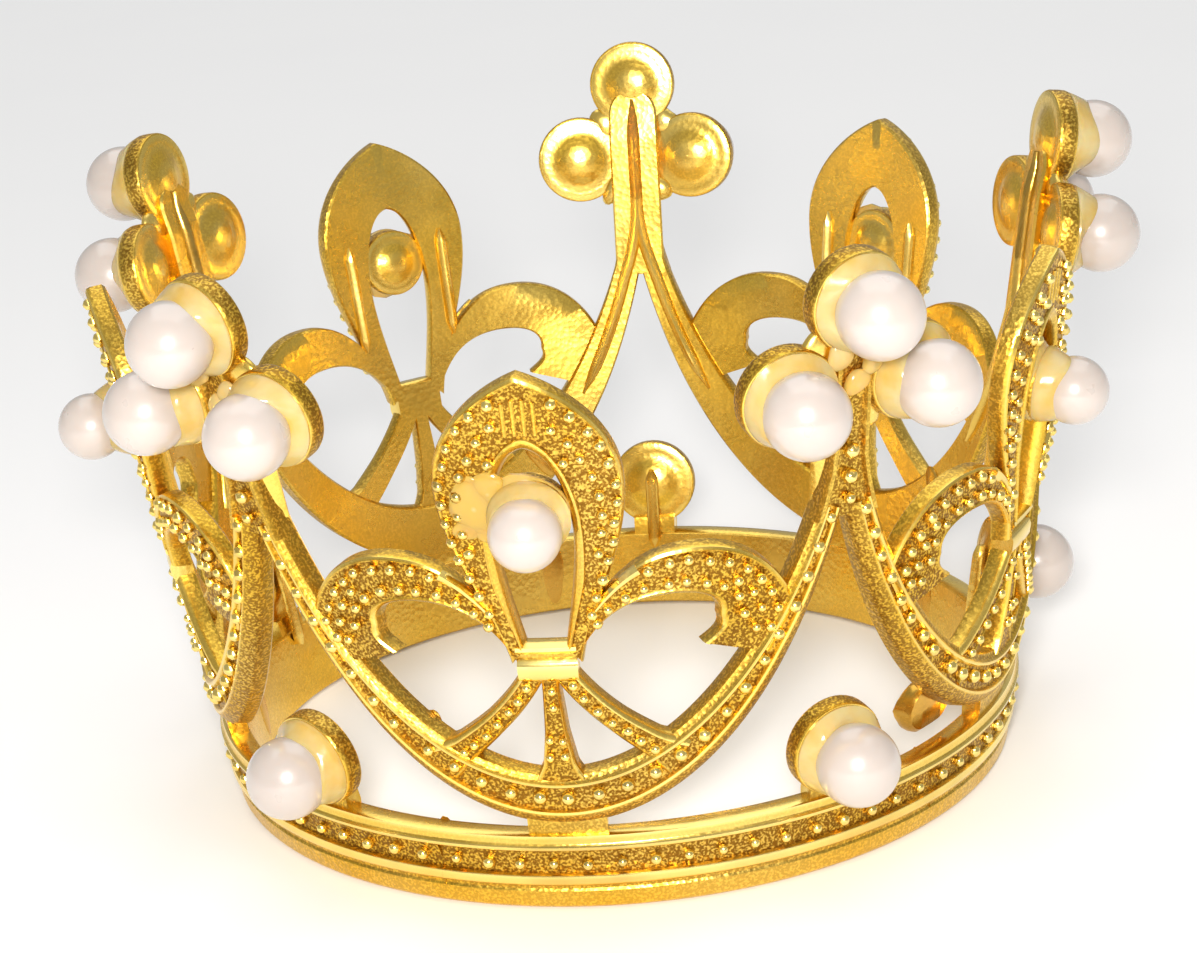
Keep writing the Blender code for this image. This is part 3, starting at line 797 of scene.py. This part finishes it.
# %% Collar and prongs
COLLAR_PROFILE = [
    (0, 0.00, -1.40, 0.2), (0, 0.00, -0.40, 0.1), (0, 0.18, -0.06, 0.0), (0, 0.55, 0.12, 0.0),
    (0, 1.30, 0.12, 0.0), (0, 1.68, -0.06, 0.0), (0, 1.92, -0.36, 0.5), (0, 2.20, -0.36, 0.5),
    (0, 2.36, -0.04, 0.0), (0, 2.56, 0.08, 0.0), (0, 2.82, 0.00, 0.0), (0, 3.00, -0.40, 0.0),
    (0, 3.05, -1.40, 0.2), (0, 2.90, -1.60, 0.25), (0, 1.50, -1.60, 0.25), (0, 0.15, -1.60, 0.25),
]
PRONG_PROFILE = [
    (0, -0.10, -1.40, 0.7), (0, 0.00, -0.50, 0.5), (0, 0.12, -0.20, 0.1), (0, 0.32, -0.10, 0.3),
    (0, 0.48, -0.22, 1.0), (0.5, -0.10, -0.18, 1.0), (1, -0.80, -0.22, 1.0), (1, -0.66, -0.02, 0.1),
    (1, -0.34, -0.10, 0.2), (1, -0.06, -0.34, 0.2), (1, 0.00, -0.60, 0.4), (1, 0.10, -1.40, 0.7),
    (1, -0.10, -1.60, 0.25), (0.5, 0.00, -1.60, 0.25), (0, 0.10, -1.60, 0.25),
]
COLLAR = (18.7, 21.75)         # foot and top
COLLAR_HALF_WIDTH = 2.1
PRONG_BEAD_PITCH = 1.3


def collar(sector):
    low, high = (level(-COLLAR_HALF_WIDTH, COLLAR_HALF_WIDTH, z, 14) for z in COLLAR)
    return [strip(low, high, COLLAR_PROFILE, sector)]


def side_prong(sector, mirror):
    landing = 11.9
    swag_side = arm_u(landing)
    path = even(bezier((0.9, 19.7), (2.6, 16.6), (0.60 * swag_side, 14.3), (swag_side, landing)), 40)
    low, high = edges(path, np.interp(np.linspace(0, 1, 40), [0, 0.5, 0.8, 1], [0.8, 0.9, 1.1, 1.7]))
    row = between(low, high, 0.42)
    if mirror:
        low, high, row = (flipped(curve) for curve in (low, high, row))
    return [strip(low, high, PRONG_PROFILE, sector),
            *bead_row(row[3:37], PRONG_BEAD_PITCH, 0.40, 0.0, sector)]


def middle_prong(sector):
    path = upright(0, 19.4, 10.6, 30)
    low, high = edges(path, np.interp(-path[:, 1], [-18, -14.5, -12, -10.6], [0.62, 0.85, 1.25, 2.0]))
    single = upright(0, 18.4, 15.2, 12)
    shells = [strip(low, high, SCROLL_PROFILE, sector)]
    shells += bead_row(single, PRONG_BEAD_PITCH, 0.37, 0.0, sector, 0.3)
    for side in (-1, 1):
        pair = np.stack([side * np.linspace(0.42, 0.75, 12), np.linspace(14.4, 11.3, 12)], 1)
        shells += bead_row(pair, PRONG_BEAD_PITCH, 0.37, 0.0, sector, 0.25)
    return shells


# %% [markdown]
# ## Web and neck
# Two plain bridges join the parts of the wall: a wide web under each swag, and a neck under each base cup.
# They are strips of their own, so that the band's and the swag's rails run past them unbroken.

# %% Web and neck
PLAIN_PROFILE = [
    (0, 0, -1.80, 0.25), (0, 0, -0.50, 0.3), (0.5, 0, -0.42, 0.7), (1, 0, -0.50, 0.3), (1, 0, -1.80, 0.25),
    (0.5, 0, -1.90, 0.25),
]
WEB = (3.1, 5.6, 7.9)          # half width, foot and top
NECK = (2.0, 5.6, 7.4)


def bridge(u, size, count, sector):
    half, foot, top = size
    low, high = (level(u - half, u + half, z, count) for z in (foot, top))
    return strip(low, high, PLAIN_PROFILE, sector)


def bridges(sector):
    return [bridge(0.0, WEB, 14, sector), bridge(HALF_PITCH, NECK, 10, sector)]


# %% [markdown]
# ## Cups
# Each pearl sits in a cup with a rolled rim and a shallow dish. A cup is a profile of radius and height,
# turned about the line that stands square on the wall. Its back is a flat plate with a low dome in the
# middle. Drops of metal fill the corners where the trefoil's three cups meet the stem.

# %% Cups
ROUND_SIDES = 48
# the ground at each point of the profile: dish, polished rim with a painted highlight, rough outer wall with
# dirt and painted shade, back
CUP_GROUND = [0.3, 0.3, 0.3, 0.1, 0.0, 0.0, 0.2, 0.8, 0.9, 0.9, 0.4, 0.1, 0.2, 0.2, 0.3, 0.3, 0.2, 0.2, 0.2]


def cup_profile(radius):
    """(radius, out) from the middle of the dish, over the rim and down the outside to the back's middle."""
    return [
        (0.05, -0.50), (0.45 * radius, -0.45), (0.72 * radius, -0.25), (radius - 0.48, 0.02),
        (radius - 0.38, 0.16), (radius - 0.22, 0.20), (radius - 0.06, 0.12), (radius, -0.06),
        (radius + 0.02, -0.55), (radius, -1.12), (radius - 0.06, -1.28), (radius - 0.22, -1.35),
        (0.80 * radius, -1.33), (0.66 * radius, -1.36), (0.55 * radius, -1.46), (0.42 * radius, -1.68),
        (0.26 * radius, -1.84), (0.12 * radius, -1.90), (0.05, -1.90),
    ]


def seats():
    """Name, place on the wall, cup radius, pearl radius and pearl centre for a sector's five pearls."""
    large = (CUP_RADIUS, PEARL_RADIUS, PEARL_CENTRE)
    small = (SMALL_CUP_RADIUS, SMALL_PEARL_RADIUS, SMALL_PEARL_CENTRE)
    return [
        ("trefoil_pearl_left", HALF_PITCH - SIDE_CUP[0], SIDE_CUP[1], *large),
        ("trefoil_pearl_top", HALF_PITCH + TOP_CUP[0], TOP_CUP[1], *large),
        ("trefoil_pearl_right", HALF_PITCH + SIDE_CUP[0], SIDE_CUP[1], *large),
        ("base_pearl", HALF_PITCH + BASE_CUP[0], BASE_CUP[1], *large),
        ("medallion_pearl", MEDALLION_CUP[0], MEDALLION_CUP[1], *small),
    ]


def cups(sector):
    shells = []
    for _, u, z, cup, *_ in seats():
        shells.append(turned(cup_profile(cup), u, z, sector, ROUND_SIDES, CUP_GROUND))
    for side in (-1, 1):
        shells.append(blob(HALF_PITCH + side * 2.3, 40.9, -0.75, (1.5, 1.3, 0.62), sector, side * 0.8))
        shells.append(blob(HALF_PITCH + side * 1.9, 35.4, -1.1, (0.9, 1.3, 0.6), sector, side * 0.4))
    return shells


# %% [markdown]
# ## The castings
# All the strips and cups of one sector go into one piece, as they were poured in one mould.

# %% Castings
def casting(sector):
    shells = base_band(sector) + swags(sector) + stem(sector) + back_ribs(sector) + loop(sector)
    shells += scroll(sector, False) + scroll(sector, True) + collar(sector)
    shells += middle_prong(sector) + side_prong(sector, False) + side_prong(sector, True)
    shells += bridges(sector) + cups(sector)
    number = sector + 1
    return make_piece(f"cast_sector_{number}", shells, GOLD, f"casting_{number}")


castings = [casting(sector) for sector in range(SECTORS)]
print("castings:", sum(len(piece.data.polygons) for piece in castings), "faces")


# %% [markdown]
# ## Pearls
# A pearl is a half circle turned with the cup's own function, so both share one line. Its grid is fine, so
# its outline stays round in a close view. A ready-made ball would need placing afterwards.

# %% Pearls
def ball_profile(radius, centre, count=33):
    """Radius r sin b and height c - r cos b, for b from one pole to the other."""
    b = np.linspace(0.01 * math.pi, 0.99 * math.pi, count)
    return np.stack([radius * np.sin(b), centre - radius * np.cos(b)], 1)


for sector in range(SECTORS):
    for name, u, z, _, radius, centre in seats():
        ball = turned(ball_profile(radius, centre), u, z, sector, ROUND_SIDES)
        make_piece(f"{name}_ball_{sector + 1}", [ball], PEARL, f"{name}_{sector + 1}")


# %% [markdown]
# ## Glue
# Round every pearl the glue has drawn itself up into a collar, higher in some places than in others. The
# front medallion has a smear beside its pearl, and a few drops have run between the trefoil's cups. A fluid
# could be poured and frozen here, but a ring whose height waves round the pearl looks the same.

# %% Glue
GLUE_HEIGHT = 1.5
TREFOIL_DROPS = [(-1.2, 40.6, 0.15, (1.1, 1.0, 0.5)), (1.3, 39.6, 0.10, (1.0, 0.8, 0.5)),
                 (0.1, 38.4, 0.10, (1.0, 0.9, 0.5))]


def glue_collar(u, z, sector, cup, radius, centre, spill):
    """A ring whose section is a hollow-sided wedge between the cup and the pearl.

    Its height follows 1 + 0.35 sin(a + p) + 0.2 sin(3a + q), with a the angle round the pearl. `spill` is
    how far it runs past the cup's edge.
    """
    origin, along, up, outward = seat(u, z, sector)
    a = np.linspace(0, 2 * math.pi, 40, endpoint=False)
    p, q = rng.uniform(0, 2 * math.pi, 2)
    top = GLUE_HEIGHT * (1 + 0.35 * np.sin(a + p) + 0.2 * np.sin(3 * a + q))
    touch = np.sqrt(radius ** 2 - (centre - top) ** 2)
    rim = cup + spill
    radii = np.stack([0 * a + 0.5 * rim, 0 * a + rim - 0.06, 0 * a + rim, 0.75 * rim + 0.25 * touch,
                      0.35 * rim + 0.65 * touch, 0.05 * rim + 0.95 * touch, touch - 0.12, 0.75 * touch])
    heights = np.stack([0 * a - 0.3, 0 * a + 0.08, 0 * a + 0.30, 0.22 + 0.28 * top, 0.14 + 0.64 * top,
                        0.02 + 0.94 * top, top, 0.6 * top])
    ring = along * np.cos(a)[:, None] + up * np.sin(a)[:, None]
    points = origin + (radii[..., None] * ring[None] + heights[..., None] * outward) * MM
    return shell(points, np.zeros((1, 1)), closed_path=True)


def glue_smear(sector):
    """Two flat lumps left of the pearl, with a dozen small ones strewn over and round them."""
    drops = [blob(-3.4, 32.5, -0.08, (1.9, 2.0, 0.46), sector, lean=0.3, rough=1.0),
             blob(-2.4, 33.6, -0.10, (1.5, 1.4, 0.40), sector, lean=0.9, rough=1.0)]
    spots = rng.uniform((-4.6, 30.6), (-2.2, 34.2), (12, 2))
    sizes = rng.uniform(0.6, 1.1, (12, 2))
    for spot, size in zip(spots, sizes):
        drops.append(blob(*spot, -0.06, (*size, 0.26), sector, lean=spot[1], rough=1.0))
    return drops


for sector in range(SECTORS):
    drops = []
    for name, u, z, cup, radius, centre in seats():
        on_medallion = name == "medallion_pearl"
        drops.append(glue_collar(u, z, sector, cup, radius, centre, 0.12 if on_medallion else -0.12))
        if on_medallion:
            drops.append(blob(u, z, -0.35, (cup + 0.25, cup + 0.2, 0.85), sector, rough=0.4))
    drops += [blob(HALF_PITCH + u, z, out, size, sector) for u, z, out, size in TREFOIL_DROPS]
    if sector == 0:
        drops += glue_smear(sector)
    make_piece(f"pearl_glue_{sector + 1}", drops, GLUE)


# %% [markdown]
# ## Seams and closing lug
# The castings meet in soldered seams, left as uneven drops behind the wall. A pillow-shaped lug closes the
# last one. It is one more strip, with a rounded profile and rounded ends, so it reads as a cast bar.

# %% Solder and lug
LUG_PROFILE = [
    (0, 0.00, -3.20, 0.2), (0, 0.05, -2.70, 0.2), (0, 0.35, -2.35, 0.2), (0.5, 0, -2.30, 0.2),
    (1, -0.35, -2.35, 0.2), (1, -0.05, -2.70, 0.2), (1, 0.00, -3.20, 0.2), (1, -0.10, -3.65, 0.2),
    (1, -0.55, -3.98, 0.1), (0.5, 0, -4.08, 0.1), (0, 0.55, -3.98, 0.1), (0, 0.10, -3.65, 0.2),
]
LUG_SECTOR = 1
LUG_START, LUG_END = -11.0, -4.7
LUG_LINE = 8.6
LUG_HALF_HEIGHT = 2.0


def lug(sector):
    """A round-ended bar: the half height is an ellipse's at each end."""
    u = np.linspace(LUG_START, LUG_END, 40)
    reach = np.clip(np.minimum(u - LUG_START, LUG_END - u) / 2.0, 0.0, 1.0)
    half = LUG_HALF_HEIGHT * np.sqrt(np.clip(1 - (1 - reach) ** 2, 0.02, 1))
    low, high = (np.stack([u, LUG_LINE + side * half], 1) for side in (-1, 1))
    return strip(low, high, LUG_PROFILE, sector)


def solder(sector):
    """A thin patch behind the band and a lump behind the swag."""
    return [blob(-SEAM, 3.2, -1.95, (1.1, 2.5, 0.16), sector),
            blob(-SEAM, arm_z(SEAM), -2.0, (0.9, 1.7, 0.30), sector, -0.5)]


make_piece("lug_pillow", [lug(LUG_SECTOR)], SOLDER, "closing_lug")
for sector in range(SECTORS):
    make_piece(f"seam_solder_{sector + 1}", solder(sector), SOLDER)


# %% [markdown]
# ## Floor, light and camera
# The floor is pale and matt. The main light is small and close to the camera, a little above it, so the
# beads sparkle, the pearls have one bright spot and the sunk ground stays dark. A broad light hangs high
# behind for the far wall, and a pale sky fills the shadows.

# %% Floor
def floor_material():
    material, tree, shader, place = new_material("pale_floor")
    shade = tinted(tree, noise(tree, place, 30.0), (0.94, 0.94, 0.94, 1), (0.96, 0.96, 0.955, 1))
    tree.links.new(shade, shader.inputs["Base Color"])
    set_inputs(shader, {"Roughness": 0.85})
    return material


def floor_sheet(half=2.5, depth=0.0002, count=9):
    """A flat grid z = -depth, just under the crown."""
    x, y = np.meshgrid(np.linspace(-half, half, count), np.linspace(-half, half, count))
    points = np.stack([x, y, np.full_like(x, -depth)], -1).reshape(-1, 3)
    index = np.arange(count * count).reshape(count, count)
    faces = np.stack([index[:-1, :-1], index[:-1, 1:], index[1:, 1:], index[1:, :-1]], -1).reshape(-1, 4)
    mesh = bpy.data.meshes.new("studio_floor")
    mesh.from_pydata(points.tolist(), [], faces.tolist())
    mesh.materials.append(floor_material())
    sheet = bpy.data.objects.new("studio_floor", mesh)
    bpy.context.scene.collection.objects.link(sheet)


floor_sheet()

# %% Light
TARGET = np.array([0.99, 0.0, 21.95]) * MM   # what the camera and the lights are turned to
SKY_STRENGTH = 0.42


def facing_matrix(place, back, roll_angle=0.0):
    """Axes for a camera or lamp that looks along -back, turned by roll_angle about that line."""
    right = np.cross([0, 0, 1], back)
    right = right / np.linalg.norm(right)
    up = np.cross(back, right)
    x = math.cos(roll_angle) * right + math.sin(roll_angle) * up
    y = -math.sin(roll_angle) * right + math.cos(roll_angle) * up
    rows = np.stack([x, y, back, place], 1).tolist()
    return Matrix(rows + [[0, 0, 0, 1]])


def soft_light(name, place, size, power, colour=(1, 1, 1)):
    """A square area light at a place in metres, turned to the crown."""
    data = bpy.data.lights.new(name, "AREA")
    data.shape = "SQUARE"
    data.size = size
    data.energy = power
    data.color = colour
    lamp = bpy.data.objects.new(name, data)
    toward = np.array(place) - TARGET
    lamp.matrix_world = facing_matrix(np.array(place), toward / np.linalg.norm(toward))
    bpy.context.scene.collection.objects.link(lamp)


soft_light("key", (0.03, -0.27, 0.13), 0.04, 1.0, (1.0, 0.97, 0.94))
soft_light("overhead", (0.0, 0.45, 1.1), 1.4, 7.0)

world = bpy.data.worlds.new("studio")
world.use_nodes = True
world.node_tree.nodes["Background"].inputs["Color"].default_value = (1, 1, 1, 1)
world.node_tree.nodes["Background"].inputs["Strength"].default_value = SKY_STRENGTH
bpy.context.scene.world = world

# %% Camera
AZIMUTH, ELEVATION, ROLL = math.radians(7.9), math.radians(19.1), math.radians(-4.57)
DISTANCE = 0.2592
FOCAL_LENGTH, SENSOR_WIDTH = 100.5, 36
back = np.array([math.sin(AZIMUTH) * math.cos(ELEVATION), -math.cos(AZIMUTH) * math.cos(ELEVATION),
                 math.sin(ELEVATION)])
lens = bpy.data.cameras.new("camera")
lens.lens = FOCAL_LENGTH
lens.sensor_width = SENSOR_WIDTH
lens.shift_x = -0.0136
lens.shift_y = -0.0019
lens.clip_start = 0.01
camera = bpy.data.objects.new("camera", lens)
camera.matrix_world = facing_matrix(TARGET + DISTANCE * back, back, ROLL)
bpy.context.scene.collection.objects.link(camera)
bpy.context.scene.camera = camera
bpy.context.scene.view_settings.view_transform = "Standard"
